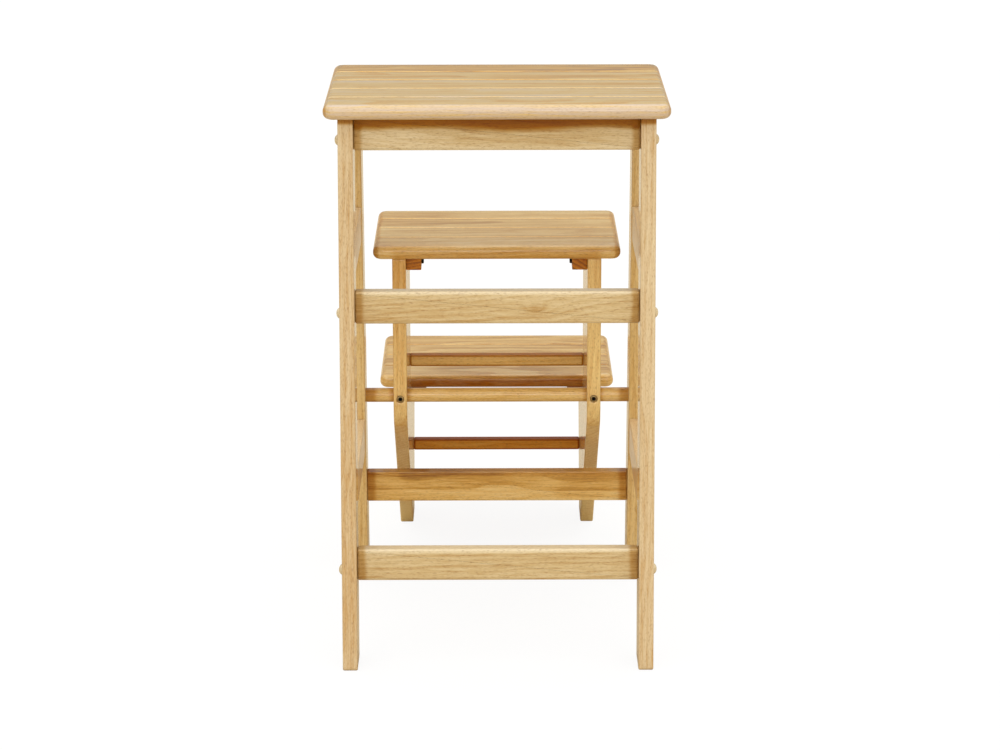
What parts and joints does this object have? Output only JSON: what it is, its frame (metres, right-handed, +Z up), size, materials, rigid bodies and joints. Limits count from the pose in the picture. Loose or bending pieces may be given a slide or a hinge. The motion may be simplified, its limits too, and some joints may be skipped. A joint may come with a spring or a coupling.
{
  "type": "folding step stool",
  "caption": "Varnished wooden stool with a grooved seat on leaning legs and a stair-shaped step unit that turns on a dowel and folds up between the legs.",
  "frame": {"origin": "on the floor, under the middle of the whole stool with its steps swung out", "axes": "+Z up, +Y from the seat frame towards the swung-out steps, +X to the right when looking along +Y"},
  "size_m": [0.4, 0.7451, 0.6677],
  "materials": {
    "seat_wood": "clear gloss varnish on pale golden hardwood strips",
    "tread_wood": "clear gloss varnish on pale golden hardwood strips",
    "leg_wood": "clear gloss varnish, grain along the piece",
    "rail_wood": "clear gloss varnish, grain along the piece",
    "panel_wood": "clear gloss varnish, upright glued staves",
    "turned_wood": "clear gloss varnish, turned",
    "stretcher_wood": "clear gloss varnish on darker wood",
    "bronzed_steel": "bronzed steel screws with hex sockets",
    "black_steel": "black steel screws"
  },
  "bodies": {
    "seat_frame": {"seat": "seat_wood", "rear_leg_left": "leg_wood", "rear_leg_right": "leg_wood", "front_leg_left": "leg_wood", "front_leg_right": "leg_wood", "side_rail_top_left": "leg_wood", "side_rail_top_right": "leg_wood", "side_rail_upper_left": "leg_wood", "side_rail_upper_right": "leg_wood", "side_rail_lower_left": "leg_wood", "side_rail_lower_right": "leg_wood", "rear_apron": "rail_wood", "rear_middle_rail": "rail_wood", "rear_bottom_rail": "rail_wood", "front_rail": "rail_wood", "rear_apron_screw_left": "bronzed_steel", "rear_apron_screw_right": "bronzed_steel", "rear_middle_rail_screw_left": "bronzed_steel", "rear_middle_rail_screw_right": "bronzed_steel", "rear_bottom_rail_screw_left": "bronzed_steel", "rear_bottom_rail_screw_right": "bronzed_steel", "front_rail_screw_left": "bronzed_steel", "front_rail_screw_right": "bronzed_steel", "rear_apron_plug_left": "turned_wood", "rear_apron_plug_right": "turned_wood", "rear_middle_rail_plug_left": "turned_wood", "rear_middle_rail_plug_right": "turned_wood", "rear_bottom_rail_plug_left": "turned_wood", "rear_bottom_rail_plug_right": "turned_wood", "front_rail_plug_left": "turned_wood", "front_rail_plug_right": "turned_wood", "seat_screw_left_1": "bronzed_steel", "seat_screw_left_2": "bronzed_steel", "seat_screw_right_1": "bronzed_steel", "seat_screw_right_2": "bronzed_steel"},
    "step_unit": {"pivot_dowel": "turned_wood", "pivot_screw_left": "bronzed_steel", "pivot_screw_right": "bronzed_steel", "side_panel_left": "panel_wood", "side_panel_right": "panel_wood", "middle_tread": "tread_wood", "lower_tread": "tread_wood", "upper_stretcher": "stretcher_wood", "lower_stretcher": "stretcher_wood", "middle_cleat_left": "stretcher_wood", "middle_cleat_right": "stretcher_wood", "lower_cleat_left": "stretcher_wood", "lower_cleat_right": "stretcher_wood", "middle_tread_screw_left": "black_steel", "middle_tread_screw_right": "black_steel", "lower_tread_screw_left": "black_steel", "lower_tread_screw_right": "black_steel", "middle_cleat_screw_left_1": "black_steel", "middle_cleat_screw_left_2": "black_steel", "middle_cleat_screw_right_1": "black_steel", "middle_cleat_screw_right_2": "black_steel", "lower_cleat_screw_left_1": "black_steel", "lower_cleat_screw_left_2": "black_steel", "lower_cleat_screw_right_1": "black_steel", "lower_cleat_screw_right_2": "black_steel"}
  },
  "joints": [
    {"name": "step_unit_fold", "type": "hinge", "parent": "seat_frame", "child": "step_unit", "pos_m": [0, -0.02724, 0.2449], "axis": [1, 0, 0], "range_deg": [0, 146]}
  ]
}
